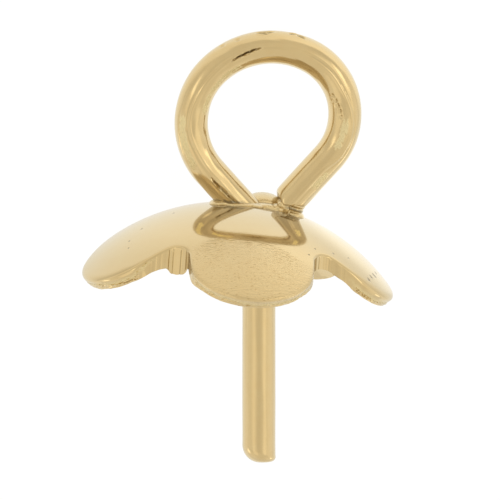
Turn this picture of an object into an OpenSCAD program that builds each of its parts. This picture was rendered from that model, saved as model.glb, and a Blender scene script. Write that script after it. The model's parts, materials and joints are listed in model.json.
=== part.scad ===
// Petal-cap peg bail: a wire eye soldered on a domed cap of five petals, with a peg for a
// half-drilled bead. Millimetres. The finding lies on its back, on two petals and one shoulder of
// its eye, as it comes to rest on a table: +Y runs along it towards the eye and +Z is up.

/* [Eye] */
// Diameter of the round wire
wire_d = 0.8; // [0.6:0.05:1]
// Mean clear width inside the eye
eye_w = 2.9; // [2.4:0.1:3.8]
// Distance between the middles of the wire's two cut ends
feet_gap = 1.22; // [1:0.02:1.4]
// Depth of the left end's middle in the dome
left_foot_sink = 0.04; // [0.03:0.01:0.1]
// Height of the right end's middle above the dome
right_foot_rise = 0.33; // [0.1:0.01:0.4]
// Distance of the eye's feet, midway, to the right of the peg
eye_shift = 0.15; // [0:0.01:0.3]
// Heading of the left leg as it leaves the cap, from level
leg_heading = 132; // [125:0.5:140]
// Fall of the left end's cut to the right, from level
left_cut_angle = 3; // [0:0.5:8]
// Fall of the right end's cut to the right, from level
right_cut_angle = 31; // [20:0.5:40]

/* [Cap] */
// Diameter over the tips of the petals
cap_d = 7.84; // [7:0.1:9]
// Outside radius of the dome
dome_r = 4.86; // [4.8:0.05:6.5]
// Thickness of the sheet
sheet_t = 0.33; // [0.3:0.01:0.5]
// Mean width of a petal, seen square on at the height of the longest one's tip
petal_w = 2.3; // [1.9:0.05:2.5]
// Radius at the root of the cut between two petals
notch_r = 0.28; // [0.15:0.01:0.4]
// Lean of the cap to the right of the peg
cap_lean = 4; // [0:0.5:6]
// Distance of the cap's crown to the left of the peg
cap_shift = 0.47; // [0:0.01:0.6]
// Turn of the eye and of the front petal to the right
petal_turn = 8; // [0:1:15]

/* [Peg] */
// Diameter of the peg
peg_d = 0.8; // [0.6:0.05:1]
// Length of the peg below the crown of the cap
peg_l = 6.28; // [4:0.1:8]
// Height of the peg's round head above the dome
head_rise = 0.32; // [0.15:0.01:0.4]
// Rounding at the peg's lower end
end_round = 0.26; // [0.1:0.01:0.3]

/* [Solder] */
// Radius of the pad under the right foot
pad_r = 0.3; // [0.2:0.01:0.35]
// Radius of the bead beside that pad
bead_r = 0.13; // [0.1:0.01:0.2]
// Thickness of the seam around the peg's head
seam_h = 0.06; // [0.03:0.01:0.1]
// Radius of the seam
seam_r = 0.55; // [0.45:0.01:0.7]
// Height of the fillet around the peg in the hollow
fillet_h = 0.39; // [0.35:0.01:0.45]
// Reach of that fillet out from the peg
fillet_w = 0.22; // [0.1:0.01:0.25]

/* [Hidden] */
gold = "#D8C08A";
wire_r = wire_d / 2;
peg_r = peg_d / 2;
$fn = 64;
round_fn = 48;
wire_sides = 24;
bend_rings = 12;
round_step = 15;
cone_share = 1.1;

// Bends of the wire, from the left leg to the right one. Radius is a share of the eye's mean radius.
RADIUS = 0;
ANGLE = 1;
bends = [
    [0.95, 97],
    [1.115, 63.5],
    [0.85, 104.5],
];

// The cap's sphere, in the peg's frame: its centre is level 0 and the peg is on x = 0
dome_x = -cap_shift - dome_r * sin(cap_lean);
dome_z = dome_r * cos(cap_lean);
function dome_height(x) = sqrt(dome_r ^ 2 - (x - dome_x) ^ 2);
function hollow_height(x) = sqrt((dome_r - sheet_t) ^ 2 - (x - dome_x) ^ 2);

// Walks the wire's centre line, which lies in the plane y = 0
left_foot_x = eye_shift - feet_gap / 2;
right_foot_x = eye_shift + feet_gap / 2;
left_foot = [left_foot_x, dome_height(left_foot_x) - left_foot_sink];
right_foot = [right_foot_x, dome_height(right_foot_x) + right_foot_rise];
function bend_r(i) = bends[i][RADIUS] * (eye_w + wire_d) / 2;
function heading(i) = i == 0 ? leg_heading : heading(i - 1) - bends[i - 1][ANGLE];
function along(a) = [cos(a), sin(a)];
function across(a) = [sin(a), -cos(a)];
function bend_span(i) = bend_r(i) * (across(heading(i)) - across(heading(i + 1)));
function span(i) = i == 0 ? [0, 0] : span(i - 1) + bend_span(i - 1);

// The two legs close the gap between the feet and the bends
last = len(bends);
legs_run = right_foot - left_foot - span(last);
leg_turn = sin(heading(last) - heading(0));
left_leg = cross(legs_run, along(heading(last))) / leg_turn;
right_leg = cross(along(heading(0)), legs_run) / leg_turn;
function knot(i) = left_foot + left_leg * along(heading(0)) + span(i);
function on_bend(i, share) =
    let (turned = heading(i) - share * bends[i][ANGLE])
    knot(i) + bend_r(i) * (across(heading(i)) - across(turned));

// The petals, from the front one round to the right. Turn is from the front petal, reach is a share of
// the cap's radius and width a share of the petals' mean width.
TURN = 0;
REACH = 1;
WIDTH = 2;
petals = [
    [0, 0.965, 1.05],
    [74, 1, 0.96],
    [144, 0.93, 1],
    [216, 0.93, 1],
    [286, 0.975, 0.98],
];
tip_r = cap_d / 2;
tip_z = sqrt(dome_r ^ 2 - tip_r ^ 2);

// Points that can touch the table, seen on the cap's own axis with the front petal to the front
function on_cap(p) =
    let (x = p.x - dome_x, up = x * cos(cap_lean) - p.z * sin(cap_lean))
    [
        up * cos(petal_turn) + p.y * sin(petal_turn),
        p.y * cos(petal_turn) - up * sin(petal_turn),
        x * sin(cap_lean) + p.z * cos(cap_lean)
    ];
function on_tip(petal, a) =
    let (
        half = petal[WIDTH] * petal_w / 2,
        out = petal[REACH] * tip_r - half + half * cos(a),
        side = half * sin(a),
        turned = petal[TURN],
        p = [sin(turned) * out + cos(turned) * side, sin(turned) * side - cos(turned) * out, tip_z]
    )
    dome_r * p / norm(p);
touch_step = 5;
tips = [for (petal = petals, a = [-90 : touch_step : 90]) on_tip(petal, a)];
eye = [
    for (i = [0 : last - 1], turned = [0 : touch_step : bends[i][ANGLE]])
        let (p = on_bend(i, turned / bends[i][ANGLE]))
        on_cap([p.x * cos(petal_turn), p.x * sin(petal_turn), p.y])
];
peg_foot = [
    for (a = [0 : touch_step : 360 - touch_step])
        on_cap([peg_r * cos(a), peg_r * sin(a), dome_z - peg_l])
];

// The finding lies level where the eye and the back petals reach equally far down
function reach(points, way) = max([for (p = points) p * way]);
function down(tilt) = [0, cos(tilt), sin(tilt)];
function ahead(tilt) = [0, -sin(tilt), cos(tilt)];
function eye_lower(tilt) = reach(eye, down(tilt)) + wire_r - reach(tips, down(tilt));
function level_tilt(low, high, steps) =
    let (mid = (low + high) / 2)
    steps == 0 ? mid
        : eye_lower(mid) > 0 ? level_tilt(low, mid, steps - 1)
        : level_tilt(mid, high, steps - 1);
least_tilt = 5;
most_tilt = 60;
halvings = 20;
rest_tilt = level_tilt(least_tilt, most_tilt, halvings);
middle_x = (reach(tips, [1, 0, 0]) - reach(tips, [-1, 0, 0])) / 2;
middle_y = (reach(eye, ahead(rest_tilt)) + wire_r - reach(peg_foot, -ahead(rest_tilt))) / 2;

// Lays what is drawn in the peg's frame down on the table
module laid() {
    translate([-middle_x, -middle_y, reach(tips, down(rest_tilt))])
        rotate([-90 - rest_tilt, 0, 0])
            rotate([0, 0, -petal_turn])
                rotate([0, -cap_lean, 0])
                    translate([-dome_x, 0, 0])
                        children();
}

// Wire eye: one round wire, swept ring by ring along its centre line, with its ends cut aslant
module wire_eye() {
    rings = [
        [left_foot, heading(0), -left_cut_angle],
        for (i = [0 : last - 1], s = [0 : 1 / bend_rings : 1])
            if (i == 0 || s > 0)
                let (turned = heading(i) - s * bends[i][ANGLE])
                [on_bend(i, s), turned, turned - 90],
        [right_foot, heading(last), 180 - right_cut_angle],
    ];
    ring_points = [
        for (ring = rings, side = [0 : wire_sides - 1])
            let (
                a = side * 360 / wire_sides,
                out = wire_r * cos(a) / sin(ring[1] - ring[2]),
                p = ring[0] + out * along(ring[2])
            )
            [p.x, wire_r * sin(a), p.y]
    ];
    end = len(rings) - 1;
    walls = [
        for (r = [0 : end - 1], side = [0 : wire_sides - 1])
            let (next = (side + 1) % wire_sides, low = r * wire_sides, high = low + wire_sides)
            [low + side, high + side, high + next, low + next]
    ];
    left_end = [for (side = [0 : wire_sides - 1]) side];
    right_end = [for (side = [wire_sides - 1 : -1 : 0]) end * wire_sides + side];
    color(gold)
        polyhedron(ring_points, concat([left_end], walls, [right_end]));
}

// Petal cap: a shell of sheet, cut square to its surface along the petals' outline
module petal_cap() {
    crown = dome_r * cone_share;
    color(gold)
        translate([dome_x, 0, 0])
            rotate([0, cap_lean, 0])
                difference() {
                    intersection() {
                        sphere(r = dome_r);
                        mirror([0, 0, 1])
                            translate([0, 0, -crown])
                                linear_extrude(height = crown, scale = 0)
                                    scale(crown / tip_z)
                                        petal_outline();
                    }
                    sphere(r = dome_r - sheet_t);
                }
}

module petal_outline() {
    offset(r = -notch_r)
        offset(delta = notch_r)
            for (petal = petals)
                rotate(petal_turn + petal[TURN] - 90)
                    tongue(petal[REACH] * tip_r, petal[WIDTH] * petal_w);
}

module tongue(l, w) {
    translate([0, -w / 2])
        square([l - w / 2, w]);
    translate([l - w / 2, 0])
        circle(d = w, $fn = round_fn);
}

// Peg: straight wire with a round head above the dome and a rounded lower end
module peg() {
    head_z = dome_height(0) + head_rise;
    foot_z = dome_z - peg_l;
    corner = [
        for (a = [0 : round_step : 90])
            [peg_r - end_round + end_round * sin(a), foot_z + end_round * (1 - cos(a))]
    ];
    head = [
        for (a = [0 : round_step : 90])
            [peg_r * cos(a), head_z - head_rise + head_rise * sin(a)]
    ];
    color(gold)
        rotate_extrude()
            polygon(concat([[0, foot_z]], corner, head));
}

// Solder: a pad that fills the gap under the right foot, a bead beside it, a seam around the peg's head and
// a fillet around the peg in the hollow. The fillet's cone starts inside the peg.
module solder() {
    bead_x = right_foot_x - pad_r;
    pad_lean = asin((right_foot_x - dome_x) / dome_r);
    color(gold) {
        rotate([0, 0, petal_turn]) {
            translate([right_foot_x, 0, dome_height(right_foot_x)])
                rotate([0, pad_lean, 0])
                    translate([0, 0, -sheet_t / 2])
                        cylinder(r = pad_r, h = sheet_t / 2 + right_foot_rise + seam_h);
            translate([bead_x, 0, dome_height(bead_x) + bead_r / 2])
                sphere(r = bead_r);
        }
        translate([0, 0, dome_height(0) - sheet_t / 2])
            cylinder(r1 = seam_r + sheet_t / 2, r2 = seam_r - seam_h, h = sheet_t / 2 + seam_h);
        translate([0, 0, hollow_height(0) + sheet_t / 4 - 2 * fillet_h])
            cylinder(r1 = peg_r - fillet_w, r2 = peg_r + fillet_w, h = 2 * fillet_h);
    }
}

module peg_bail() {
    laid() {
        rotate([0, 0, petal_turn])
            wire_eye();
        petal_cap();
        peg();
        solder();
    }
}

peg_bail();
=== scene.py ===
import json
import math

import bmesh
import bpy
import numpy as np
from mathutils import Matrix, Vector


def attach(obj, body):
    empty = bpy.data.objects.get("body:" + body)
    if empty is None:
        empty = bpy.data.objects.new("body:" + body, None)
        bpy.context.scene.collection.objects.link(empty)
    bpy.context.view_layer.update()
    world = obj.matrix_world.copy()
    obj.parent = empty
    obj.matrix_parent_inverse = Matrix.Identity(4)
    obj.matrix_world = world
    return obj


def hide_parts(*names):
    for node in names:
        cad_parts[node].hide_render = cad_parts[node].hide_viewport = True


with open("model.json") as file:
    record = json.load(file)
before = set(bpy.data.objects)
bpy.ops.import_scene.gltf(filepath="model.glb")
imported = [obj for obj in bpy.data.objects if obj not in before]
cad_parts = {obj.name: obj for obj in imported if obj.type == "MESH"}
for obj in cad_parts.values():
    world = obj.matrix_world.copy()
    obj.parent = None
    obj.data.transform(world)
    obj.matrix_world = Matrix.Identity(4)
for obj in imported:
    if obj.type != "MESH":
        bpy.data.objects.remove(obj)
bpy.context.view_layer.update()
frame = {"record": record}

# How the finding lies. It is made upright, in millimetres from the centre of the cap's dome: x to the right,
# y to the back and z up along the peg. The peg and the open eye say where those lines lie on the table.
MM = 0.001
PEG_D, PEG_L, END_ROUND = 0.8, 6.28, 0.26
DOME_R, SHEET_T = 4.86, 0.33
CAP_LEAN, CAP_SHIFT, PETAL_TURN = math.radians(4), 0.47, math.radians(8)
DOME_X = -CAP_SHIFT - DOME_R * math.sin(CAP_LEAN)
DOME_Z = DOME_R * math.cos(CAP_LEAN)

mounts = {m["name"]: m for m in frame["record"]["mounts"]}
peg_up = -Vector(mounts["peg"]["axis"]).normalized()
to_back = Matrix.Rotation(-PETAL_TURN, 3, peg_up) @ -Vector(mounts["eye"]["axis"]).normalized()
to_right = to_back.cross(peg_up)
peg_mount_z = DOME_Z - PEG_L + END_ROUND + mounts["peg"]["dims"]["length_mm"] / 2
dome_level = Vector(mounts["peg"]["pos_m"]) / MM - peg_up * peg_mount_z
upright = Matrix((to_right, to_back, peg_up)).transposed()


def laid(points):
    """Upright millimetres to metres on the table."""
    return (np.asarray(points) @ np.array(upright).T + np.array(dome_level)) * MM


def dome_height(x, y=0):
    return np.sqrt(DOME_R ** 2 - (x - DOME_X) ** 2 - y ** 2)


# Wire eye: one length of round gold-plated wire, bent over a mandrel in three bends, its two ends filed to
# sit on the dome. The pliers left flats, nicks and a thin raised line along its front.
WIRE_D, EYE_W, FEET_GAP, EYE_SHIFT = 0.8, 2.9, 1.22, 0.15
# How far the left foot sinks in the dome, the right one stands over it, and the right leg runs past its foot
LEFT_SINK, RIGHT_RISE, RIGHT_EXTRA = 0.04, 0.33, 0.17
# The left leg's heading and the slopes of the two cut ends, in degrees
LEG_HEADING, LEFT_CUT, RIGHT_CUT = 132, 3, 8
EYE_TURN = PETAL_TURN
# Steps along the wire and round it, how far from its ends it starts to slant, and the rounding of its ends
WIRE_STEP, WIRE_SIDES, SEAT_REACH, END_EDGE = 0.025, 144, 0.9, 0.05
# The trimmed corner of the right end: a slanted line through one place, its softness and its reach
TRIM_X, TRIM_Z, TRIM_SLOPE, TRIM_SOFT, TRIM_FROM, TRIM_FULL = 0.47, 5.0, 0.35, 0.04, 1.5, 1.2
# Bends: radius as a share of the eye's mean radius, angle in degrees
BENDS = [(0.95, 97), (1.115, 63.5), (0.85, 104.5)]
# Marks: length along the wire, turn round it (0 in front, 90 outside), half length and half width, lean and
# depth
NICKS = [
    (4.65, 0, 0.37, 0.017, 5, 0.06),
    (5.13, 66, 0.10, 0.03, -24, 0.06),
    (5.28, 66, 0.09, 0.03, 24, 0.06),
    (5.80, 72, 0.09, 0.03, 20, 0.055),
    (5.95, 64, 0.08, 0.03, -16, 0.055),
    (4.61, 62, 0.05, 0.04, 0, 0.03),
    (4.27, 68, 0.05, 0.04, 0, 0.03),
    (7.50, -38, 0.06, 0.025, 10, 0.03),
    (7.66, -34, 0.05, 0.03, -20, 0.035),
    (7.80, -29, 0.06, 0.025, 15, 0.035),
    (7.95, -25, 0.05, 0.03, -10, 0.035),
    (8.10, -19, 0.05, 0.03, 20, 0.03),
    (0.55, 12, 0.40, 0.022, 2, 0.045),
    (0.80, 15, 0.20, 0.018, -3, 0.03),
]
# Flats: start and end along the wire, turn round it, half width in degrees
FLATS = [
    (1.30, 2.60, 44, 17),
    (2.80, 4.50, -47, 10),
    (7.45, 8.30, -30, 10),
]
# Rough places, where a tool bit: start and end along the wire, turn round it, half width, depth in mm
ROUGH = [
    (1.45, 2.54, 41, 16, 0.016),
    (2.70, 4.40, -40, 13, 0.014),
    (8.20, 8.90, -5, 12, 0.012),
    (9.55, 10.0, 30, 14, 0.008),
]
# How softly flats and rough places end, and how uneven the flats are
FLAT_SOFT, FLAT_WAVE, ROUGH_SOFT = 0.15, 0.002, 0.1
# The wire isn't quite round or even: how far its radius wanders, and over what length. A random line has so
# many knots before it repeats.
SWELL, SWELL_STEP, DIMPLE, DIMPLE_STEP, KNOTS = 0.004, 0.8, 0.0025, 0.35, 4096
# The raised line runs in front, bulges outwards once on the left and drifts where the right leg bends in. A
# groove runs outside it. Turns and half widths are in degrees, places and half lengths along the wire in mm.
RIDGE_TURN, BULGE_TURN, BULGE_AT, BULGE_HALF = -2.5, 16, 2.45, 0.65
RIDGE_H, RIDGE_HALF, GROOVE_D, GROOVE_OUT, GROOVE_HALF = 0.008, 4.0, 0.007, 9, 3.0
# Drifts of the line: start and end along the wire, degrees
DRIFTS = [
    (7.2, 8.7, 28),
    (8.9, 9.6, -16),
]


def heading_vector(a):
    return np.stack([np.cos(np.radians(a)), np.sin(np.radians(a))], -1)


def across_vector(a):
    return np.stack([np.sin(np.radians(a)), -np.cos(np.radians(a))], -1)


def wander(x, step, seed):
    """A smooth random line over x with a knot each step, between -1 and 1."""
    knots = np.random.default_rng(seed).uniform(-1, 1, KNOTS)
    cell = np.floor(x / step).astype(int)
    t = x / step - cell
    t = t * t * (3 - 2 * t)
    return knots[cell % KNOTS] * (1 - t) + knots[(cell + 1) % KNOTS] * t


def ramp(x, low, high):
    t = np.clip((x - low) / (high - low), 0, 1)
    return t * t * (3 - 2 * t)


def bell(x, middle, half):
    return np.exp(-((x - middle) / half) ** 2)


def between(x, start, end, soft):
    """1 from start to end and 0 elsewhere, with soft ends."""
    return ramp(x, start - soft, start + soft) * (1 - ramp(x, end - soft, end + soft))


def turned_from(angle, middle):
    """Degrees from the middle to the angle, from -180 to 180."""
    return (angle - middle + 180) % 360 - 180


def cross2(a, b):
    return a[0] * b[1] - a[1] * b[0]


left_x, right_x = EYE_SHIFT - FEET_GAP / 2, EYE_SHIFT + FEET_GAP / 2
left_foot = np.array([left_x, dome_height(left_x) - LEFT_SINK])
right_foot = np.array([right_x, dome_height(right_x) + RIGHT_RISE])
headings = [LEG_HEADING]
spans = np.zeros(2)
for share, angle in BENDS:
    radius = share * (EYE_W + WIRE_D) / 2
    spans = spans + radius * (across_vector(headings[-1]) - across_vector(headings[-1] - angle))
    headings.append(headings[-1] - angle)
legs_run = right_foot - left_foot - spans
leg_turn = cross2(heading_vector(headings[0]), heading_vector(headings[-1]))
left_leg = cross2(legs_run, heading_vector(headings[-1])) / leg_turn
right_leg = cross2(heading_vector(headings[0]), legs_run) / leg_turn + RIGHT_EXTRA

stretches = [(left_leg, headings[0], headings[0])]
for (share, angle), start in zip(BENDS, headings):
    stretches.append((share * (EYE_W + WIRE_D) / 2 * math.radians(angle), start, start - angle))
stretches.append((right_leg, headings[-1], headings[-1]))
path_heading = np.concatenate([
    np.linspace(a, b, round(length / WIRE_STEP), endpoint=False) for length, a, b in stretches
] + [[headings[-1]]])
path_step = np.concatenate([
    np.full(round(length / WIRE_STEP), length / round(length / WIRE_STEP)) for length, a, b in stretches
])
mid_heading = (path_heading[1:] + path_heading[:-1]) / 2
steps = path_step[:, None] * heading_vector(mid_heading)
path = left_foot + np.concatenate([np.zeros((1, 2)), np.cumsum(steps, 0)])
path_along = np.concatenate([[0], np.cumsum(path_step)])
wire_length = path_along[-1]


def put_in_scene(name, data):
    placed = bpy.data.objects.new(name, data)
    bpy.context.scene.collection.objects.link(placed)
    return placed


def corners_of(mesh):
    corners = np.zeros(len(mesh.vertices) * 3)
    mesh.vertices.foreach_get("co", corners)
    return corners.reshape(-1, 3)


def mark(mesh, name, values):
    """Keeps a value for each corner of the mesh, which its material reads by name."""
    mesh.attributes.new(name, "FLOAT", "POINT").data.foreach_set("value", values.astype(np.float32))


line = bpy.data.meshes.new("eye_line")
line.from_pydata([(x, 0, z) for x, z in path], [(i, i + 1) for i in range(len(path) - 1)], [])
mark(line, "along", path_along)
wire_eye = put_in_scene("wire_eye", line)

sweep = bpy.data.node_groups.new("wire_sweep", "GeometryNodeTree")
sweep.interface.new_socket("Line", in_out="INPUT", socket_type="NodeSocketGeometry")
radius_input = sweep.interface.new_socket("Wire radius", in_out="INPUT", socket_type="NodeSocketFloat")
sides_input = sweep.interface.new_socket("Sides", in_out="INPUT", socket_type="NodeSocketInt")
finish_input = sweep.interface.new_socket("Finish", in_out="INPUT", socket_type="NodeSocketMaterial")
sweep.interface.new_socket("Wire", in_out="OUTPUT", socket_type="NodeSocketGeometry")
given = sweep.nodes.new("NodeGroupInput")
made = sweep.nodes.new("NodeGroupOutput")
to_curve = sweep.nodes.new("GeometryNodeMeshToCurve")
section = sweep.nodes.new("GeometryNodeCurvePrimitiveCircle")
drawn = sweep.nodes.new("GeometryNodeCurveToMesh")
drawn.inputs["Fill Caps"].default_value = True
real = sweep.nodes.new("GeometryNodeRealizeInstances")
finish = sweep.nodes.new("GeometryNodeSetMaterial")
for out, into in (
    (given.outputs["Line"], to_curve.inputs["Mesh"]),
    (given.outputs["Wire radius"], section.inputs["Radius"]),
    (given.outputs["Sides"], section.inputs["Resolution"]),
    (to_curve.outputs["Curve"], drawn.inputs["Curve"]),
    (section.outputs["Curve"], drawn.inputs["Profile Curve"]),
    (drawn.outputs["Mesh"], real.inputs["Geometry"]),
    (real.outputs["Geometry"], finish.inputs["Geometry"]),
    (given.outputs["Finish"], finish.inputs["Material"]),
    (finish.outputs["Geometry"], made.inputs["Wire"]),
):
    sweep.links.new(out, into)


def shader_group(name, inputs, outputs):
    """An empty shader group with its sockets; inputs are names with their first values."""
    group = bpy.data.node_groups.new(name, "ShaderNodeTree")
    for label, value in inputs.items():
        kind = "NodeSocketVector" if value is None else "NodeSocketFloat"
        socket = group.interface.new_socket(label, in_out="INPUT", socket_type=kind)
        if value is not None:
            socket.default_value = value
    for label in outputs:
        group.interface.new_socket(label, in_out="OUTPUT", socket_type="NodeSocketFloat")
    return group, group.nodes.new("NodeGroupInput"), group.nodes.new("NodeGroupOutput")


def node(tree, kind, links=(), **settings):
    """A node with its settings, its sockets linked or given a value by name or number."""
    placed = tree.nodes.new(kind)
    for key, value in settings.items():
        setattr(placed, key, value)
    for key, value in dict(links).items():
        if isinstance(value, bpy.types.NodeSocket):
            tree.links.new(value, placed.inputs[key])
        else:
            placed.inputs[key].default_value = value
    return placed


# Scratches: fine lines all one way, where the polishing wheel or the draw plate ran
scratches, given, made = shader_group("scratches", {"Place": None, "Lines per mm": 20.0}, ["Height"])
scaled = node(scratches, "ShaderNodeVectorMath", {0: given.outputs["Place"]}, operation="SCALE")
scratches.links.new(given.outputs["Lines per mm"], scaled.inputs["Scale"])
lines = node(scratches, "ShaderNodeTexNoise", {"Vector": scaled.outputs[0], "Detail": 3.0, "Roughness": 0.6})
cut = node(scratches, "ShaderNodeMapRange", {"Value": lines.outputs[0], "From Min": 0.35, "From Max": 0.65})
scratches.links.new(cut.outputs[0], made.inputs["Height"])

# Pits: small round specks with room between them
pits, given, made = shader_group("pits", {"Place": None, "Pits per mm": 4.0, "Size": 0.2}, ["Height", "Mask"])
scaled = node(pits, "ShaderNodeVectorMath", {0: given.outputs["Place"]}, operation="SCALE")
pits.links.new(given.outputs["Pits per mm"], scaled.inputs["Scale"])
cells = node(pits, "ShaderNodeTexVoronoi", {"Vector": scaled.outputs[0], "Randomness": 1.0})
chosen = node(pits, "ShaderNodeSeparateColor", {"Color": cells.outputs["Color"]})
wide = node(pits, "ShaderNodeMath", {0: chosen.outputs["Red"], 1: given.outputs["Size"]},
            operation="MULTIPLY")
hollow = node(pits, "ShaderNodeMapRange", {"Value": cells.outputs["Distance"], "From Max": wide.outputs[0]})
rare = node(pits, "ShaderNodeMath", {0: chosen.outputs["Green"], 1: 0.55}, operation="GREATER_THAN")
mask = node(pits, "ShaderNodeMath", {0: 1.0, 1: hollow.outputs[0]}, operation="SUBTRACT")
mask = node(pits, "ShaderNodeMath", {0: mask.outputs[0], 1: rare.outputs[0]}, operation="MULTIPLY")
height = node(pits, "ShaderNodeMath", {0: 1.0, 1: mask.outputs[0]}, operation="SUBTRACT")
pits.links.new(height.outputs[0], made.inputs["Height"])
pits.links.new(mask.outputs[0], made.inputs["Mask"])

# Cloud: a slow change over the plating, for its colour and its gloss
cloud, given, made = shader_group("cloud", {"Place": None, "Patches per mm": 1.0}, ["Mask"])
scaled = node(cloud, "ShaderNodeVectorMath", {0: given.outputs["Place"]}, operation="SCALE")
cloud.links.new(given.outputs["Patches per mm"], scaled.inputs["Scale"])
soft = node(cloud, "ShaderNodeTexNoise", {"Vector": scaled.outputs[0], "Detail": 4.0, "Roughness": 0.55})
even = node(cloud, "ShaderNodeMapRange", {"Value": soft.outputs[0], "From Min": 0.3, "From Max": 0.7})
cloud.links.new(even.outputs[0], made.inputs["Mask"])


def use(tree, group, **values):
    """A group placed in a material, its inputs named with underscores for blanks."""
    placed = tree.nodes.new("ShaderNodeGroup")
    placed.node_tree = group
    for key, value in values.items():
        socket = placed.inputs[key.replace("_", " ")]
        if isinstance(value, bpy.types.NodeSocket):
            tree.links.new(value, socket)
        else:
            socket.default_value = value
    return placed


# Gold of the plating in two tones, a painted paler sheen at a steep slant, a painted duller tone where one
# piece shows in another, bare metal where the plating is worn, painted paler to stand for glints too, and a
# dark colour for painted shade in joints and slits and for the dome's flecks
GOLD_PALE, GOLD_DEEP, GOLD_SHEEN = (0.93, 0.73, 0.38, 1), (0.92, 0.705, 0.355, 1), (0.99, 0.95, 0.74, 1)
GOLD_SHADED_IN_REFLECTIONS, BARE_AND_GLINT_PALE, SHADE_AND_FLECK_DARK = (0.60, 0.50, 0.33, 1), (1, 0.85, 0.47, 1), (0.36, 0.30, 0.19, 1)
# How fast the painted sheen comes in at the edges, and how many patches of colour and gloss there are per mm
SHEEN_POWER, COLOUR_PATCHES, GLOSS_PATCHES = 1.8, 0.9, 3.5


def gold(name, least_rough, most_rough):
    """A gold plating with a clouded colour and gloss, a painted sheen and a painted reflection shade: the
    material, its tree, shader and place in mm.
    """
    material = bpy.data.materials.new(name)
    material.use_nodes = True
    tree = material.node_tree
    shader = tree.nodes["Principled BSDF"]
    shader.inputs["Metallic"].default_value = 1.0
    place = node(tree, "ShaderNodeTexCoord")
    mm = node(tree, "ShaderNodeVectorMath", {0: place.outputs["Object"], "Scale": 1 / MM}, operation="SCALE")
    patches = use(tree, cloud, Place=mm.outputs[0], Patches_per_mm=COLOUR_PATCHES)
    colour = node(tree, "ShaderNodeMix", {0: patches.outputs["Mask"], 6: GOLD_PALE, 7: GOLD_DEEP},
                  data_type="RGBA")
    # Painted sheen: the colour turns paler where the surface is seen at a steep slant
    slant = node(tree, "ShaderNodeLayerWeight", {"Blend": 0.5})
    slant = node(tree, "ShaderNodeMath", {0: slant.outputs["Facing"], 1: SHEEN_POWER}, operation="POWER")
    colour = node(tree, "ShaderNodeMix", {0: slant.outputs[0], 6: colour.outputs[2], 7: GOLD_SHEEN},
                  data_type="RGBA")
    # Painted reflection shade: the gold is duller where one piece shows in another
    ray = node(tree, "ShaderNodeLightPath")
    colour = node(tree, "ShaderNodeMix", {
        0: ray.outputs["Is Glossy Ray"], 6: colour.outputs[2], 7: GOLD_SHADED_IN_REFLECTIONS}, data_type="RGBA")
    tree.links.new(colour.outputs[2], shader.inputs["Base Color"])
    worn = use(tree, cloud, Place=mm.outputs[0], Patches_per_mm=GLOSS_PATCHES)
    gloss = node(tree, "ShaderNodeMapRange", {
        "Value": worn.outputs["Mask"], "To Min": least_rough, "To Max": most_rough})
    tree.links.new(gloss.outputs[0], shader.inputs["Roughness"])
    return material, tree, shader, mm.outputs[0]


def bump(tree, shader, *layers):
    """Lays height layers on each other, each a socket, its depth in mm."""
    normal = None
    for height_socket, depth in layers:
        layer = node(tree, "ShaderNodeBump", {
            "Height": height_socket, "Distance": depth * MM, "Strength": 1.0})
        if normal:
            tree.links.new(normal, layer.inputs["Normal"])
        normal = layer.outputs[0]
    tree.links.new(normal, shader.inputs["Normal"])


def tint(tree, shader, mask, colour):
    """Another colour where the mask is 1, such as paler bare metal that also stands for glints, and painted
    dark shade.
    """
    under = shader.inputs["Base Color"].links[0].from_socket
    tinted = node(tree, "ShaderNodeMix", {0: mask, 6: under, 7: colour}, data_type="RGBA")
    tree.links.new(tinted.outputs[2], shader.inputs["Base Color"])


# Depths in mm of the wire's drawn lines, its specks and the grain where the plating is worn
DRAWN_D, WIRE_SPECK_D, BARE_D = 0.0002, 0.002, 0.003
wire_gold, tree, shader, place_mm = gold("wire_gold", 0.10, 0.16)
along = node(tree, "ShaderNodeAttribute", attribute_name="along")
around = node(tree, "ShaderNodeAttribute", attribute_name="around")
unrolled = node(tree, "ShaderNodeCombineXYZ", {"X": along.outputs["Fac"], "Y": around.outputs["Fac"]})
stretched = node(tree, "ShaderNodeMapping", {"Vector": unrolled.outputs[0], "Scale": (0.06, 1.0, 1.0)})
drawn_lines = use(tree, scratches, Place=stretched.outputs[0], Lines_per_mm=14.0)
specks = use(tree, pits, Place=place_mm, Pits_per_mm=7.0, Size=0.16)
bare_glint_here = node(tree, "ShaderNodeAttribute", attribute_name="bared_glint").outputs["Fac"]
grain = use(tree, scratches, Place=place_mm, Lines_per_mm=22.0)
bare_grain = node(tree, "ShaderNodeMath", {0: grain.outputs["Height"], 1: bare_glint_here}, operation="MULTIPLY")
# Bare metal where the plating is worn, painted paler so that it also stands for glints
tint(tree, shader, bare_glint_here, BARE_AND_GLINT_PALE)
# Painted shade: the crevice of the left joint and the deeper nicks are darkened
tint(tree, shader, node(tree, "ShaderNodeAttribute", attribute_name="joint_shade").outputs["Fac"], SHADE_AND_FLECK_DARK)
bump(tree, shader, (drawn_lines.outputs["Height"], DRAWN_D), (specks.outputs["Height"], WIRE_SPECK_D),
     (bare_grain.outputs[0], BARE_D))

swept = wire_eye.modifiers.new("sweep", "NODES")
swept.node_group = sweep
swept[radius_input.identifier] = WIRE_D / 2
swept[sides_input.identifier] = WIRE_SIDES
swept[finish_input.identifier] = wire_gold
wire_mesh = bpy.data.meshes.new_from_object(wire_eye.evaluated_get(bpy.context.evaluated_depsgraph_get()))
wire_eye.modifiers.remove(swept)
wire_eye.data = wire_mesh
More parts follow.
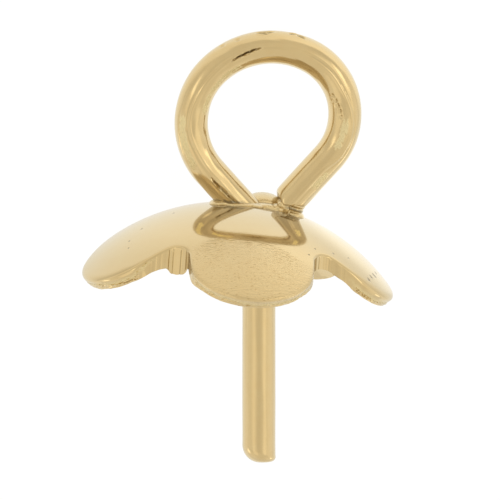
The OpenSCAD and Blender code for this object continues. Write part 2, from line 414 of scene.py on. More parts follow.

# The swept wire is worked from here: s is each point's length along it, turn its angle round it, 0 in
# front and 90 outside, and wire_r how far it stands from the centre line
corners = corners_of(wire_mesh)
count = len(corners)
s = np.zeros(count, np.float32)
wire_mesh.attributes["along"].data.foreach_get("value", s)
centre = np.stack([np.interp(s, path_along, path[:, 0]), np.interp(s, path_along, path[:, 1])], 1)
way = np.interp(s, path_along, path_heading)
inward = across_vector(way)
off = corners[:, [0, 2]] - centre
turn = np.degrees(np.arctan2(-(off * inward).sum(1), -corners[:, 1]))
wire_r = WIRE_D / 2 + SWELL * wander(s, SWELL_STEP, 3) + DIMPLE * wander(s + turn / 40, DIMPLE_STEP, 4)
ridge_turn = RIDGE_TURN + BULGE_TURN * bell(s, BULGE_AT, BULGE_HALF) + 1.5 * wander(s, 0.9, 5)
for start, end, drift in DRIFTS:
    ridge_turn = ridge_turn + drift * ramp(s, start, end)
ridge_high = 1.5 + 0.5 * wander(s, 0.5, 6) + 0.3 * (1 - ramp(s, 0.3, 1.2))
wire_r = wire_r + RIDGE_H * ridge_high * bell(turn - ridge_turn, 0, RIDGE_HALF)
wire_r = wire_r - GROOVE_D * ridge_high * bell(turn - ridge_turn, GROOVE_OUT, GROOVE_HALF)
for start, end, middle, half in FLATS:
    away = turned_from(turn, middle)
    limit = (WIRE_D / 2 * math.cos(math.radians(half))) / np.cos(np.radians(np.clip(away, -60, 60)))
    here = between(s, start, end, FLAT_SOFT)
    flat_r = limit + FLAT_WAVE * wander(s * 3 + away / 8, 0.2, 7)
    wire_r = wire_r + here * (np.minimum(wire_r, flat_r) - wire_r)
# Where a tool bit, the wire is bare, and it is painted paler there to stand for glints too
bared_glint = np.zeros(count)
for i, (start, end, middle, half, depth) in enumerate(ROUGH):
    away = np.abs(turned_from(turn, middle)) + 3 * wander(s, 0.1, 40 + i)
    here = between(s, start, end, ROUGH_SOFT) * (1 - ramp(away, half * 0.6, half))
    bites = wander(s + 0.3 * wander(turn, 9, 50 + i), 0.055, 60 + i)
    bites = bites * wander(turn + 4 * wander(s, 0.07, 70 + i), 6, 80 + i)
    wire_r = wire_r + depth * here * bites
    bared_glint = np.maximum(bared_glint, ramp(here + 1.3 * bites, 0.25, 0.55) * ramp(here, 0, 0.2))
nick_shade = np.zeros(count)
for middle, side, half_l, half_w, lean, depth in NICKS:
    ahead = s - middle
    aside = turned_from(turn, side) * math.radians(WIRE_D / 2)
    cos_lean, sin_lean = math.cos(math.radians(lean)), math.sin(math.radians(lean))
    on_mark = ahead * cos_lean + aside * sin_lean
    off_mark = aside * cos_lean - ahead * sin_lean + 0.25 * half_w * wander(s, 0.09, 8)
    cut = np.exp(-(on_mark / half_l) ** 4 - (off_mark / half_w) ** 2)
    wire_r = wire_r - depth * cut
    # The deeper nicks are darkened with painted shade
    nick_shade = np.maximum(nick_shade, cut ** 1.5 * ramp(depth, 0.03, 0.06))
    banks = np.exp(-(on_mark / half_l) ** 4 - ((np.abs(off_mark) - 1.9 * half_w) / half_w) ** 2)
    wire_r = wire_r + 0.25 * depth * banks
# Both ends are rounded at their edge and slanted to their seats
to_end = np.minimum(s, wire_length - s)
edge = END_EDGE - np.sqrt(np.clip(END_EDGE ** 2 - np.clip(END_EDGE - to_end, 0, None) ** 2, 0, None))
wire_r = wire_r - edge
sin_t, cos_t = np.sin(np.radians(turn)), np.cos(np.radians(turn))
flat_pos = centre - inward * (wire_r * sin_t)[:, None]
for foot_s, slope in ((0, -LEFT_CUT), (wire_length, -RIGHT_CUT)):
    end_heading = headings[0] if foot_s == 0 else headings[-1]
    cut_way = heading_vector(slope)
    slide = (cut_way @ heading_vector(end_heading)) / (cut_way @ across_vector(end_heading))
    fade = np.clip(1 - np.abs(s - foot_s) / SEAT_REACH, 0, 1)
    flat_pos = flat_pos + heading_vector(end_heading) * (-wire_r * sin_t * slide * fade)[:, None]
# The right end's inner corner is trimmed off
trim_x = TRIM_X + (TRIM_Z - flat_pos[:, 1]) * TRIM_SLOPE
past = np.clip((trim_x - flat_pos[:, 0]) / TRIM_SOFT, -30, 30)
near_end = ramp(s, wire_length - TRIM_FROM, wire_length - TRIM_FULL)
flat_pos[:, 0] += TRIM_SOFT * np.log1p(np.exp(past)) * near_end
shaped = np.stack([flat_pos[:, 0], -wire_r * cos_t, flat_pos[:, 1]], 1)
turn_eye = np.array(Matrix.Rotation(EYE_TURN, 3, "Z"))
shaped = shaped @ turn_eye.T
wire_mesh.vertices.foreach_set("co", laid(shaped).ravel())
mark(wire_mesh, "around", np.radians(turn).astype(np.float32) * WIRE_D / 2)
# Painted shade darkens the crevice of the left joint, on its outer side: how far up from the dome, with a
# ragged edge
LEFT_JOINT, JOINT_SOFT, JOINT_FRAY = 0.14, 0.04, 0.02
frayed = JOINT_FRAY * wander(turn / 25 + 40, 0.35, 9)
over = shaped[:, 2] - dome_height(shaped[:, 0], shaped[:, 1])
joint_shade = (1 - ramp(over + frayed, LEFT_JOINT - JOINT_SOFT, LEFT_JOINT)) * ramp(turn, -25, 0) * (s < 1)
joint_shade = np.maximum(0.85 * joint_shade, nick_shade)
mark(wire_mesh, "joint_shade", joint_shade)
mark(wire_mesh, "bared_glint", bared_glint)


def finish_piece(piece, sharp=35):
    """Smooth faces with sharp corners kept, normals outwards, riding on the one soldered body."""
    mesh = piece.data
    shape = bmesh.new()
    shape.from_mesh(mesh)
    bmesh.ops.recalc_face_normals(shape, faces=shape.faces)
    shape.to_mesh(mesh)
    shape.free()
    mesh.shade_smooth()
    mesh.set_sharp_from_angle(angle=math.radians(sharp))
    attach(piece, "root")
    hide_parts("peg_bail")


finish_piece(wire_eye)

# Petal cap: one disc of gold-plated sheet, blanked as five petals and domed in a die. The die rolled its
# outer edge over and the shears left a torn band, drag lines and burrs along the cut. The torn band's paler
# tint is partly bare torn metal and partly a painted glint.
CAP_D, PETAL_W, NOTCH_R = 7.84, 2.3, 0.28
# Petals: turn from the front one, reach as a share of the cap's radius, width as a share of a petal's width,
# and how far its two sides lean in towards its root, in degrees
PETALS = [(0, 0.965, 1.05, 5, 10), (74, 1, 0.96, 0, 0), (144, 0.93, 1, 0, 0), (216, 0.93, 1, 0, 0),
          (286, 0.975, 0.98, 0, 0)]
# Points round the outline, rings down the dome, roll, cut and hollow, and points of the outline before it is
# spaced
ROUND_POINTS, DOME_RINGS, ROLL_RINGS, CUT_RINGS, HOLLOW_RINGS, FINE_POINTS = 1100, 44, 7, 18, 10, 20001
# Roll of the edge: how wide and how deep on the front petal and on the side ones, and where the wider one
# starts and is full, in degrees from the front
ROLL_W, ROLL_D, SIDE_ROLL_W, SIDE_ROLL_D, SIDE_FROM, SIDE_FULL = 0.12, 0.08, 0.26, 0.12, 48, 55
# Torn band: the share of the cut above it at the left and at the right, how far it stands out in mm, and the
# step below it
TORN_LEFT, TORN_RIGHT, TORN_OUT, TORN_STEP = 0.16, 0.45, 0.035, 0.014
# A second small step low on the left petal: its middle, where it fades and where it is full, in degrees
LOW_STEP_AT, LOW_STEP_FADE, LOW_STEP_FULL = -146, 9, 6
# Depth of the finest drag lines, and the height of the burr with its unevenness
DRAG_FINE, BURR_H, BURR_WAVE = 0.006, 0.006, 0.010
# How far in from the outline the sheet turns under: the burr, the cut's foot and the edge of the hollow
BURR_IN, FOOT_IN, HOLLOW_IN = 0.05, 0.08, 0.12
# Between the petals the cut stands upright, wholly so within one radius and not at all past the other. It is
# deeper than the sheet there, most at the left of the front petal.
UPRIGHT_IN, UPRIGHT_OUT, NOTCH_H, NOTCH_ROLL = 2.4, 3.3, 0.36, 0.05
# Tabs left by the shears: middle in degrees round the cap, half width in degrees, how far they hang down
TABS = [(-119.3, 5.4, 0.13)]
# How much deeper the cut is at the left of the front petal: middle and reach in degrees round the cap, mm
DEEP_AT, DEEP_REACH, DEEP_BY = -119.5, 7.0, 0.19
# Drag lines in the two notches beside the front petal: degrees round the cap, half width in degrees, depth
DRAGS = [
    (-123.4, 0.35, 0.018),
    (-122.3, 0.30, -0.014),
    (-120.6, 0.25, 0.004),
    (-118.2, 0.22, 0.012),
    (-117.6, 0.22, -0.008),
    (-115.3, 0.30, 0.010),
    (-114.0, 0.25, -0.006),
    (-47.2, 0.3, 0.006),
    (-44.8, 0.35, 0.009),
    (-42.5, 0.3, 0.006),
    (-39.8, 0.3, 0.008),
]
# Where the tear runs along the crease of the left petal and where it dips below it: degrees round the cap,
# half width in degrees, and the share of the cut that it rises or dips by
TEAR_AT, TEAR_HALF, TEAR_UP, DIP_AT, DIP_HALF, DIP_DOWN = -131.3, 2.2, 0.1, -135, 1.8, 0.28
# Short marks cover the front petal: half its width, where they start and are full, from the peg, and how much
# of them shows elsewhere
WORKED_HALF, WORKED_FROM, WORKED_FULL, WORKED_ELSEWHERE = 1.6, 2.35, 2.7, 0.02
tip_r = CAP_D / 2
tip_z = math.sqrt(DOME_R ** 2 - tip_r ** 2)


def blank_radius(angle):
    """Radius of the blank's outline at each angle round the cap, seen square on at the height of the tips."""
    radius = np.zeros_like(angle)
    notch = np.full_like(angle, np.inf)
    sides = []
    for turned, reach, width, lean_left, lean_right in PETALS:
        axis = PETAL_TURN + math.radians(turned - 90)
        half, rim = width * PETAL_W / 2, reach * tip_r
        a = (angle - axis + math.pi) % (2 * math.pi) - math.pi
        mid = rim - half
        round_end = mid * np.cos(a) + np.sqrt(np.clip(half ** 2 - (mid * np.sin(a)) ** 2, 0, None))
        reach_here = np.full_like(angle, np.inf)
        for way, lean_in in ((1, lean_left), (-1, lean_right)):
            # Each side is a straight line that touches the round end: points p with p . facing = off
            facing_angle = axis + way * math.radians(90 + lean_in)
            facing = np.array([math.cos(facing_angle), math.sin(facing_angle)])
            lean_cos = math.cos(math.radians(90 + lean_in))
            off = half + mid * lean_cos
            sides.append((facing, off))
            toward = np.cos(angle - facing_angle)
            straight = off / np.maximum(toward, 1e-6)
            before = (a * way > 0) & (straight * np.cos(a) < mid + half * lean_cos)
            reach_here = np.where(before, straight, reach_here)
        reach_here = np.where(np.isinf(reach_here), round_end, reach_here)
        radius = np.maximum(radius, np.where(np.abs(a) < math.pi / 2, reach_here, 0))
    for i in range(len(PETALS)):
        # The round root of the cut between this petal and the next
        (left_of, left_off), (right_of, right_off) = sides[2 * i], sides[(2 * i + 3) % len(sides)]
        root = np.linalg.solve([left_of, right_of], [left_off + NOTCH_R, right_off + NOTCH_R])
        low, high = (np.arctan2(*(root - NOTCH_R * n)[::-1]) for n in (left_of, right_of))
        inside = ((angle - low) % (2 * math.pi)) <= ((high - low) % (2 * math.pi))
        d = root[0] * np.cos(angle) + root[1] * np.sin(angle)
        arc = d - np.sqrt(np.clip(d ** 2 - root @ root + NOTCH_R ** 2, 0, None))
        notch = np.where(inside, arc, notch)
    return np.minimum(np.where(np.isinf(notch), radius, notch), radius * 1.5)


fine = np.linspace(-math.pi, math.pi, FINE_POINTS)
fine_line = blank_radius(fine)[:, None] * np.stack([np.cos(fine), np.sin(fine)], 1)
fine_step = np.linalg.norm(np.diff(fine_line, axis=0), axis=1)
run = np.concatenate([[0], np.cumsum(fine_step)])
# Points stand closer where the cut is drawn in detail: middle, half width in degrees, how much closer
CLOSER = [(-117, 10, 3), (-140, 13, 1.5), (-47, 11, 2), (-22, 14, 1), (-82, 22, 0.6)]
closeness = np.ones(len(fine_step))
for middle, half, more in CLOSER:
    closeness = closeness + more * ramp(-np.abs(np.degrees(fine[1:]) - middle), -half - 2, -half)
counted = np.concatenate([[0], np.cumsum(fine_step * closeness)])
spot = np.interp(np.linspace(0, counted[-1], ROUND_POINTS, endpoint=False), counted, run)
outline = np.stack([np.interp(spot, run, fine_line[:, i]) for i in (0, 1)], 1)
outline_angle = np.degrees(np.arctan2(outline[:, 1], outline[:, 0]))
tangent = np.roll(outline, -2, 0) - np.roll(outline, 2, 0)
outward = np.stack([tangent[:, 1], -tangent[:, 0]], 1) / np.linalg.norm(tangent, axis=1)[:, None]

drag = 0.5 * wander(spot, 0.11, 11) + 0.5 * wander(spot, 0.045, 12)
tear = bell(outline_angle, TEAR_AT, TEAR_HALF)
torn_line = TORN_LEFT + (TORN_RIGHT - TORN_LEFT) * ramp(outline[:, 0], -1, 1) - TEAR_UP * tear
torn_line = torn_line + DIP_DOWN * bell(outline_angle, DIP_AT, DIP_HALF)
torn_line = torn_line + 0.12 * wander(spot, 0.35, 13) + 0.09 * wander(spot, 0.09, 14)
burr = BURR_H + BURR_WAVE * wander(spot, 0.08, 15)
stands = 1 - ramp(np.linalg.norm(outline, axis=1), UPRIGHT_IN, UPRIGHT_OUT)
left_notch = bell(outline_angle, DEEP_AT, DEEP_REACH)
cut_h = SHEET_T + stands * (NOTCH_H - SHEET_T + DEEP_BY * left_notch)
for middle, half, hang in TABS:
    away = np.abs(turned_from(outline_angle, middle))
    cut_h = cut_h + hang * (1 - ramp(away, half * 0.6, half)) * (1 + 0.06 * wander(spot, 0.07, 16))
from_front = np.abs(outline_angle - math.degrees(PETAL_TURN) + 90)
on_side = ramp(np.minimum(from_front, 360 - from_front), SIDE_FROM, SIDE_FULL)
roll_w = ROLL_W + (SIDE_ROLL_W - ROLL_W) * on_side
roll_d = ROLL_D + (SIDE_ROLL_D - ROLL_D) * on_side
roll_w = roll_w + (NOTCH_ROLL - roll_w) * stands
roll_d = roll_d + (NOTCH_ROLL - roll_d) * stands
drag = DRAG_FINE * drag * (0.4 + 0.4 * ramp(stands, 0.85, 1.0))
for middle, half, depth in DRAGS:
    drag = drag + depth * bell(outline_angle, middle, half)


def sheet_ring(inset, depth):
    """A ring of points that far in from the outline and down its cut face."""
    flat = outline - outward * np.broadcast_to(inset, ROUND_POINTS)[:, None]
    ray = np.column_stack([flat, np.full(ROUND_POINTS, tip_z)])
    ray = ray / np.linalg.norm(ray, axis=1)[:, None]
    down = -ray * (1 - stands)[:, None] - np.outer(stands, [0, 0, 1])
    down = down / np.linalg.norm(down, axis=1)[:, None]
    return ray * DOME_R + down * np.broadcast_to(depth, ROUND_POINTS)[:, None]


rim = sheet_ring(roll_w, 0)
rim_ray = rim / DOME_R
crown = np.array([0, 0, 1.0])
rings = []
for k in range(1, DOME_RINGS + 1):
    share = k / DOME_RINGS
    ray = crown * (1 - share) + rim_ray * share
    rings.append(DOME_R * ray / np.linalg.norm(ray, axis=1)[:, None])
for t in np.linspace(0, 90, ROLL_RINGS + 1)[1:]:
    over_edge, down_edge = 1 - math.sin(math.radians(t)), 1 - math.cos(math.radians(t))
    rings.append(sheet_ring(roll_w * over_edge, roll_d * down_edge))
cut_shares = np.linspace(0, 1, CUT_RINGS + 1)[1:]
step_out = TORN_STEP * (0.8 + 0.4 * wander(spot, 0.12, 19)) * np.maximum(1 - ramp(stands, 0.1, 0.5), tear)
low_step = ramp(-np.abs(outline_angle - LOW_STEP_AT), -LOW_STEP_FADE, -LOW_STEP_FULL)
for share in cut_shares:
    torn = ramp(share, torn_line + 0.06, torn_line + 0.16) * (1 - ramp(stands, 0.1, 0.5))
    torn = np.maximum(torn, tear * bell(share, torn_line, 0.13))
    chips = 0.6 * wander(spot + share * 2, 0.06, 17) + 0.8 * wander(spot - share * 2, 0.13, 18) - 0.2
    rough = TORN_OUT * chips
    step = np.clip((share - torn_line) / 0.16 + 0.5, 0, 1) + low_step * np.clip((share - 0.84) / 0.16, 0, 1)
    inset = drag * (1 - torn) - torn * rough * (1 - ramp(share, 0.75, 1)) - step_out * step
    rings.append(sheet_ring(inset, roll_d + (cut_h - roll_d) * share))
for share in (0.5, 1):
    rings.append(sheet_ring(drag + 0.01 * share, cut_h + burr * share))
rings.append(sheet_ring(BURR_IN, cut_h + burr * 0.7))
rings.append(sheet_ring(FOOT_IN, cut_h - 0.4 * (cut_h - SHEET_T)))
inner_rim = sheet_ring(HOLLOW_IN, SHEET_T)
inner_rim = inner_rim / np.linalg.norm(inner_rim, axis=1)[:, None]
for k in range(HOLLOW_RINGS, 0, -1):
    share = k / HOLLOW_RINGS
    ray = crown * (1 - share) + inner_rim * share
    rings.append((DOME_R - SHEET_T) * ray / np.linalg.norm(ray, axis=1)[:, None])
points = np.concatenate([[crown * DOME_R], *rings, [crown * (DOME_R - SHEET_T)]])
lean = np.array(Matrix.Rotation(CAP_LEAN, 3, "Y"))
points = points @ lean.T + [DOME_X, 0, 0]

faces = [(0, 1 + k, 1 + (k + 1) % ROUND_POINTS) for k in range(ROUND_POINTS)]
for j in range(len(rings) - 1):
    low, high = 1 + j * ROUND_POINTS, 1 + (j + 1) * ROUND_POINTS
    for k in range(ROUND_POINTS):
        n = (k + 1) % ROUND_POINTS
        faces.append((low + k, high + k, high + n, low + n))
last_ring, pole = 1 + (len(rings) - 1) * ROUND_POINTS, len(points) - 1
faces += [(pole, last_ring + (k + 1) % ROUND_POINTS, last_ring + k) for k in range(ROUND_POINTS)]
cap_mesh = bpy.data.meshes.new("petal_cap")
cap_mesh.from_pydata(laid(points).tolist(), [], faces)
torn_share = np.zeros(len(points))
first_cut = 1 + (DOME_RINGS + ROLL_RINGS) * ROUND_POINTS
for j, share in enumerate(cut_shares):
    on_line = bell(share, torn_line, 0.2) * np.maximum(1 - stands, tear)
    torn_share[first_cut + j * ROUND_POINTS:first_cut + (j + 1) * ROUND_POINTS] = on_line
mark(cap_mesh, "torn", torn_share)
in_place = (points[:, 2] > 2) * (np.abs(points[:, 0]) < WORKED_HALF)
punched = (1 - WORKED_ELSEWHERE) * ramp(-points[:, 1], WORKED_FROM, WORKED_FULL)
worked_share = WORKED_ELSEWHERE + punched * in_place
mark(cap_mesh, "worked", worked_share)
petal_cap = put_in_scene("petal_cap", cap_mesh)


def seen_on_dome(right, up):
    """The point of the dome's front that shows that far right of the peg and above the dome's centre."""
    depth = -math.sqrt(DOME_R ** 2 - (right - DOME_X) ** 2 - up ** 2)
    cos_up, sin_up = math.cos(VIEW_UP), math.sin(VIEW_UP)
    return laid([[right, up * sin_up + depth * cos_up, up * cos_up - depth * sin_up]])[0] / MM


# The slant at which the front of the dome is looked down on, which places the flecks
VIEW_UP = math.radians(6)
# Deep single pits and dark flecks of the dome: right, up and radius in mm
FLECKS = [
    (1.79, 3.60, 0.035),
    (1.35, 3.71, 0.025),
    (1.20, 3.57, 0.025),
    (-2.05, 4.57, 0.03),
    (-2.82, 4.19, 0.03),
    (-3.11, 3.90, 0.03),
    (-3.13, 3.73, 0.025),
    (2.64, 2.97, 0.065),
    (2.70, 3.03, 0.06),
    (2.77, 3.07, 0.075),
    (2.81, 3.13, 0.05),
    (2.15, 3.49, 0.03),
]
fleck, given, made = shader_group("fleck", {"Place": None, "Middle": None, "Radius": 0.03}, ["Mask"])
ragged = node(fleck, "ShaderNodeTexNoise", {"Vector": given.outputs["Place"], "Scale": 28.0, "Detail": 2.0})
apart = node(fleck, "ShaderNodeVectorMath", {0: given.outputs["Place"], 1: given.outputs["Middle"]},
             operation="DISTANCE")
apart = node(fleck, "ShaderNodeMath", {0: apart.outputs["Value"], 1: given.outputs["Radius"]},
             operation="DIVIDE")
apart = node(fleck, "ShaderNodeMath", {0: ragged.outputs[0], 1: 1.6, 2: apart.outputs[0]},
             operation="MULTIPLY_ADD")
spotted = node(fleck, "ShaderNodeMapRange", {"Value": apart.outputs[0], "From Min": 2.0, "From Max": 1.3})
fleck.links.new(spotted.outputs[0], made.inputs["Mask"])

# Deeper gold of the short marks, and depths in mm of the marks, the specks, the flecks and the torn grain
MARK_GOLD = (0.60, 0.38, 0.14, 1)
MARK_D, SHEET_SPECK_D, FLECK_D, TORN_D = 0.006, 0.003, 0.01, 0.005
sheet_gold, tree, shader, place_mm = gold("sheet_gold", 0.07, 0.11)
flattened = node(tree, "ShaderNodeMapping", {"Vector": place_mm, "Scale": (0.3, 1.0, 1.0)})
waves = use(tree, scratches, Place=flattened.outputs[0], Lines_per_mm=4.0)
worked = node(tree, "ShaderNodeAttribute", attribute_name="worked")
in_front = node(tree, "ShaderNodeMath", {0: waves.outputs["Height"], 1: worked.outputs["Fac"]},
                operation="MULTIPLY")
specks = use(tree, pits, Place=place_mm, Pits_per_mm=2.5, Size=0.1)
flecked = 0.0
for right, up, radius in FLECKS:
    single = use(tree, fleck, Place=place_mm, Middle=seen_on_dome(right, up), Radius=radius)
    both = node(tree, "ShaderNodeMath", {0: single.outputs["Mask"], 1: flecked}, operation="MAXIMUM")
    flecked = both.outputs[0]
sunk = node(tree, "ShaderNodeMath", {0: 1.0, 1: flecked}, operation="SUBTRACT")
torn = node(tree, "ShaderNodeAttribute", attribute_name="torn")
grain = use(tree, scratches, Place=place_mm, Lines_per_mm=16.0)
torn_grain = node(tree, "ShaderNodeMath", {0: grain.outputs["Height"], 1: torn.outputs["Fac"]},
                  operation="MULTIPLY")
bump(tree, shader, (in_front.outputs[0], MARK_D), (specks.outputs["Height"], SHEET_SPECK_D),
     (sunk.outputs[0], FLECK_D), (torn_grain.outputs[0], TORN_D))
# The short marks of the front petal are deeper gold, the tear is paler than the plating, partly torn metal
# and partly a painted glint, and the flecks are dark
dashes = use(tree, pits, Place=flattened.outputs[0], Pits_per_mm=7.0, Size=0.5)
marks = node(tree, "ShaderNodeMath", {0: dashes.outputs["Mask"], 1: worked.outputs["Fac"]},
             operation="MULTIPLY")
tint(tree, shader, marks.outputs[0], MARK_GOLD)
# Painted glint: the grain of the torn band is tinted paler than the plating
bright = node(tree, "ShaderNodeMath", {0: torn_grain.outputs[0], 1: 1.6}, operation="MULTIPLY",
              use_clamp=True)
tint(tree, shader, bright.outputs[0], BARE_AND_GLINT_PALE)
dark = node(tree, "ShaderNodeMath", {0: flecked, 1: 0.8}, operation="MULTIPLY")
tint(tree, shader, dark.outputs[0], SHADE_AND_FLECK_DARK)
cap_mesh.materials.append(sheet_gold)
finish_piece(petal_cap)

# Peg: a straight length of the same wire, pushed through the cap and soldered. Its low round head is hidden
# in the solder, and its lower end is clipped and roughly rounded, more on the left.
HEAD_RISE, PEG_SIDES, PEG_STEP, END_RINGS, HEAD_RINGS = 0.08, 72, 0.05, 10, 9
# The clipped end: how far up it is rounded at the left and at the right, the share of that which it narrows
# by, and the lip that the cutters left at the right
END_LEFT, END_RIGHT, END_NARROWS, LIP = 0.42, 0.16, 0.9, 0.02
PEG_SWELL, PEG_SWELL_STEP, PEG_DIMPLE, PEG_DIMPLE_STEP = 0.0025, 0.7, 0.002, 0.8
PEG_WAVE_D, PEG_SPECK_D = 0.0003, 0.003
peg_r = PEG_D / 2
head_top = dome_height(0) + HEAD_RISE
foot_z = DOME_Z - PEG_L
angles = np.linspace(0, 2 * math.pi, PEG_SIDES, endpoint=False)
leftness = (1 - np.cos(angles)) / 2
end_round = END_RIGHT + (END_LEFT - END_RIGHT) * leftness
peg_rings = []
for t in np.linspace(8, 90, END_RINGS):
    shrink = end_round * (1 - math.sin(math.radians(t))) * END_NARROWS
    rise = end_round * (1 - math.cos(math.radians(t)))
    r = peg_r - shrink + LIP * (1 - leftness) * math.sin(math.radians(2 * t))
    peg_rings.append((r, foot_z + rise))
for z in np.arange(foot_z + END_LEFT + PEG_STEP, head_top - HEAD_RISE, PEG_STEP):
    swell = PEG_SWELL * wander(np.full(PEG_SIDES, z), PEG_SWELL_STEP, 21)
    dimples = PEG_DIMPLE * wander(angles * 3 + z, PEG_DIMPLE_STEP, 22)
    peg_rings.append((peg_r + swell + dimples, np.full(PEG_SIDES, z)))
for t in np.linspace(0, 84, HEAD_RINGS):
    peg_rings.append((np.full(PEG_SIDES, peg_r * math.cos(math.radians(t))),
                      np.full(PEG_SIDES, head_top - HEAD_RISE + HEAD_RISE * math.sin(math.radians(t)))))
verts = [np.array([[0, 0, foot_z]])]
for r, z in peg_rings:
    verts.append(np.stack([r * np.cos(angles), r * np.sin(angles), z], 1))
verts.append(np.array([[0, 0, head_top]]))
verts = np.concatenate(verts)
top = len(verts) - 1
faces = [(0, 1 + (k + 1) % PEG_SIDES, 1 + k) for k in range(PEG_SIDES)]
for j in range(len(peg_rings) - 1):
    low, high = 1 + j * PEG_SIDES, 1 + (j + 1) * PEG_SIDES
    for k in range(PEG_SIDES):
        n = (k + 1) % PEG_SIDES
        faces.append((low + k, low + n, high + n, high + k))
faces += [(top, top - PEG_SIDES + k, top - PEG_SIDES + (k + 1) % PEG_SIDES) for k in range(PEG_SIDES)]
peg_mesh = bpy.data.meshes.new("peg")
peg_mesh.from_pydata(laid(verts).tolist(), [], faces)
peg = put_in_scene("peg", peg_mesh)
peg_gold, tree, shader, place_mm = gold("peg_gold", 0.13, 0.19)
specks = use(tree, pits, Place=place_mm, Pits_per_mm=5.0, Size=0.15)
waves = use(tree, scratches, Place=place_mm, Lines_per_mm=6.0)
bump(tree, shader, (waves.outputs["Height"], PEG_WAVE_D), (specks.outputs["Height"], PEG_SPECK_D))
peg_mesh.materials.append(peg_gold)
finish_piece(peg)

# Solder: gold solder that ran between the eye's feet, the peg's head and the dome. It stands as a low mound
# behind the feet, a wash round the left foot, a pad under the right foot and a small bead beside it.
# The voxel that fuses the drops, how often they're smoothed, and depths in mm of waves and specks
SOLDER_GRAIN, SMOOTHINGS, SOLDER_WAVE_D, SOLDER_SPECK_D = 0.014, 4, 0.0006, 0.002
# Drops: how far right and back in line with the eye, height of the middle over the dome, half length to the
# right, half width to the back and half height in mm, and how much less than the dome it leans
DROPS = [
    (0.20, 0.36, -0.02, 0.50, 0.55, 0.33, 0),
    (0.52, 0.12, 0.00, 0.24, 0.28, 0.24, 0),
    (0.22, -0.20, -0.03, 0.40, 0.20, 0.13, 0),
    (-0.92, -0.01, 0.00, 0.29, 0.36, 0.12, 0.02),
    (-0.47, -0.02, -0.02, 0.52, 0.47, 0.11, 0.02),
    (-0.10, -0.05, -0.01, 0.28, 0.43, 0.08, 0.02),
    (0.84, -0.02, -0.01, 0.27, 0.37, 0.13, 0),
    (0.85, -0.01, 0.14, 0.235, 0.345, 0.12, 0),
    (0.865, -0.02, 0.235, 0.265, 0.38, 0.075, 0.06),
    (0.61, -0.22, 0.10, 0.13, 0.15, 0.16, 0),
    (0.49, -0.30, 0.14, 0.09, 0.09, 0.10, 0),
    (0.44, -0.18, 0.02, 0.16, 0.20, 0.13, 0),
]
blobs = bmesh.new()
for right, back, rise, half_x, half_y, half_z, less in DROPS:
    x = right * math.cos(EYE_TURN) - back * math.sin(EYE_TURN)
    y = right * math.sin(EYE_TURN) + back * math.cos(EYE_TURN)
    z = dome_height(x, y) + rise
    lean_it = Matrix.Rotation(math.asin((x - DOME_X) / DOME_R) - less, 4, "Y")
    turn_it = Matrix.Rotation(EYE_TURN, 4, "Z")
    size_it = Matrix.Diagonal((half_x, half_y, half_z, 1))
    place_it = Matrix.Translation((x, y, z)) @ lean_it @ turn_it @ size_it
    bmesh.ops.create_icosphere(blobs, subdivisions=4, radius=1.0, matrix=place_it)
solder_mesh = bpy.data.meshes.new("solder")
blobs.to_mesh(solder_mesh)
blobs.free()
solder = put_in_scene("solder", solder_mesh)
fuse = solder.modifiers.new("fuse", "REMESH")
fuse.mode = "VOXEL"
fuse.voxel_size = SOLDER_GRAIN
flow = solder.modifiers.new("flow", "SMOOTH")
flow.iterations = SMOOTHINGS
solder_mesh = bpy.data.meshes.new_from_object(solder.evaluated_get(bpy.context.evaluated_depsgraph_get()))
solder.modifiers.clear()
solder.data = solder_mesh
corners = corners_of(solder_mesh)
solder_mesh.vertices.foreach_set("co", laid(corners).ravel())
# Painted shadow in the slit between the pad and the dome: how far over the dome, half its height, and where
# it starts and is full, to the right of the peg
SLIT_H, SLIT_HALF, SLIT_FROM, SLIT_FULL = 0.14, 0.03, 0.62, 0.70
over = corners[:, 2] - dome_height(corners[:, 0], corners[:, 1])
slit = 0.9 * bell(over, SLIT_H, SLIT_HALF) * ramp(corners[:, 0], SLIT_FROM, SLIT_FULL)
mark(solder_mesh, "joint_shade", slit)
solder_gold, tree, shader, place_mm = gold("solder_gold", 0.16, 0.28)
specks = use(tree, pits, Place=place_mm, Pits_per_mm=9.0, Size=0.3)
waves = use(tree, scratches, Place=place_mm, Lines_per_mm=12.0)
# Painted shadow darkens the slit under the pad
tint(tree, shader, node(tree, "ShaderNodeAttribute", attribute_name="joint_shade").outputs["Fac"], SHADE_AND_FLECK_DARK)
bump(tree, shader, (waves.outputs["Height"], SOLDER_WAVE_D), (specks.outputs["Height"], SOLDER_SPECK_D))
solder_mesh.materials.clear()
solder_mesh.materials.append(solder_gold)
finish_piece(solder, sharp=80)

# Table, light and camera: a white light table that glows most under the cap, in a pale tent with a few
# brighter panels. The camera looks down on the front of the cap from a long way off.
PX_PER_MM, VIEW_PX = 41.5, 500
VIEW_X, VIEW_Z, VIEW_FAR, SENSOR = -0.2145, 3.702, 400, 36
TABLE_LIGHT, TENT_LIGHT, TENT_COLOUR = 0.78, 0.66, (1, 0.95, 0.88, 1)
# The table as the camera sees it: its white, how much of it takes a shadow, and the tent's share of its light
WHITE_SEEN, SHADOW_SEEN, TENT_SHARE = 1.0, 0.12, 0.6
TABLE_HALF, CLIP_NEAR, CLIP_FAR = 1, 0.01, 10
# Patches of the table: middle in mm, full to, none from, and how much they add
PATCHES = [
    (0, 1, 2.5, 5.5, 0.07),
    (-25, 5, 10, 20, -0.17),
    (25, 5, 10, 20, -0.10),
    (3.9, -1.2, 1, 3, 0.22),
    (5, 7, 2, 6, 0.18),
    (-10, 9, 4, 8, -0.05),
]
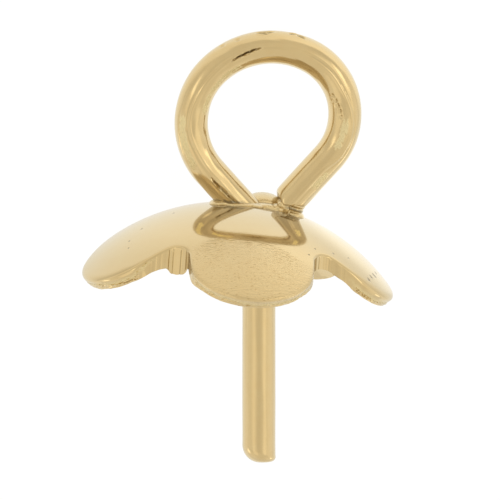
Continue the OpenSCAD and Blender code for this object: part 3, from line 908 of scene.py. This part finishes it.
# Panels, as the camera sees them: right, up, towards it, angles of full and of no light, and how much they
# add
PANELS = [
    (0, 0, 1, 6, 24, -0.06),
    (0.65, 0, 0.76, 5, 22, 0.25),
    (-0.65, 0, 0.76, 5, 22, 0.12),
    (0, 0.64, 0.77, 10, 26, -0.05),
    (0.80, 0.22, 0.56, 4, 11, 0.7),
    (-0.52, 0.23, 0.82, 3, 9, 0.45),
    (0.85, -0.50, -0.15, 4, 13, 0.6),
    (-0.93, -0.36, 0.05, 3, 12, 0.6),
    (-0.45, -0.45, 0.77, 8, 22, 0.14),
    (0.98, 0, 0.17, 14, 30, 0.12),
    (-0.98, 0, 0.17, 14, 30, 0.04),
    (0.7, -0.7, 0.1, 14, 30, 0.08),
    (-0.7, -0.7, 0.1, 14, 30, 0.06),
    (0.8, 0.5, 0.3, 10, 34, -0.07),
    (-0.8, 0.5, 0.3, 10, 34, -0.06),
]

floor_mesh = bpy.data.meshes.new("table")
table_corners = [(x * TABLE_HALF, y * TABLE_HALF, 0) for x, y in ((-1, -1), (1, -1), (1, 1), (-1, 1))]
floor_mesh.from_pydata(table_corners, [], [(0, 1, 2, 3)])
floor = put_in_scene("table", floor_mesh)
table_white = bpy.data.materials.new("table_white")
table_white.use_nodes = True
tree = table_white.node_tree
tree.nodes.clear()
place = node(tree, "ShaderNodeTexCoord")
table_sum = TABLE_LIGHT
for x, y, full, none, added in PATCHES:
    apart = node(tree, "ShaderNodeVectorMath", {0: place.outputs["Object"], 1: (x * MM, y * MM, 0)},
                 operation="DISTANCE")
    patch = node(tree, "ShaderNodeMapRange", {
        "Value": apart.outputs["Value"], "From Min": full * MM, "From Max": none * MM,
        "To Min": added, "To Max": 0.0}, interpolation_type="SMOOTHSTEP")
    table_sum = node(tree, "ShaderNodeMath", {0: patch.outputs[0], 1: table_sum}).outputs[0]
under = node(tree, "ShaderNodeEmission", {"Color": TENT_COLOUR, "Strength": table_sum})
seen_lit = node(tree, "ShaderNodeBsdfDiffuse", {"Color": (SHADOW_SEEN, SHADOW_SEEN, SHADOW_SEEN, 1)})
seen_glow = node(tree, "ShaderNodeEmission", {"Strength": WHITE_SEEN - SHADOW_SEEN * TENT_LIGHT * TENT_SHARE})
seen = node(tree, "ShaderNodeAddShader", {0: seen_lit.outputs[0], 1: seen_glow.outputs[0]})
ray = node(tree, "ShaderNodeLightPath")
both = node(tree, "ShaderNodeMixShader", {
    0: ray.outputs["Is Camera Ray"], 1: under.outputs[0], 2: seen.outputs[0]})
node(tree, "ShaderNodeOutputMaterial", {"Surface": both.outputs[0]})
floor_mesh.materials.append(table_white)

view_dir = upright @ Vector((0, -math.cos(VIEW_UP), math.sin(VIEW_UP)))
view_up = upright @ Vector((0, math.sin(VIEW_UP), math.cos(VIEW_UP)))
aim = Vector(laid([[VIEW_X, 0, VIEW_Z]])[0])

tent = bpy.data.worlds.new("tent")
bpy.context.scene.world = tent
tent.use_nodes = True
tree = tent.node_tree
way = node(tree, "ShaderNodeTexCoord").outputs["Generated"]
light_sum = TENT_LIGHT
for right, up, near, full, none, added in PANELS:
    panel_way = (to_right * right + view_up * up + view_dir * near).normalized()
    facing = node(tree, "ShaderNodeVectorMath", {0: way, 1: panel_way}, operation="DOT_PRODUCT")
    panel = node(tree, "ShaderNodeMapRange", {
        "Value": facing.outputs["Value"], "From Min": math.cos(math.radians(none)),
        "From Max": math.cos(math.radians(full)), "To Max": added}, interpolation_type="SMOOTHSTEP")
    light_sum = node(tree, "ShaderNodeMath", {0: panel.outputs[0], 1: light_sum}).outputs[0]
tree.links.new(light_sum, tree.nodes["Background"].inputs["Strength"])
tree.nodes["Background"].inputs["Color"].default_value = TENT_COLOUR

camera = bpy.data.cameras.new("camera")
camera.sensor_width = SENSOR
camera.lens = SENSOR * VIEW_FAR / (VIEW_PX / PX_PER_MM)
camera.clip_start, camera.clip_end = CLIP_NEAR, CLIP_FAR
camera_object = put_in_scene("camera", camera)
camera_object.matrix_world = Matrix.Translation(aim + view_dir * VIEW_FAR * MM) @ Matrix(
    (to_right, view_up, view_dir)).transposed().to_4x4()
bpy.context.scene.camera = camera_object
bpy.context.scene.view_settings.view_transform = "Standard"
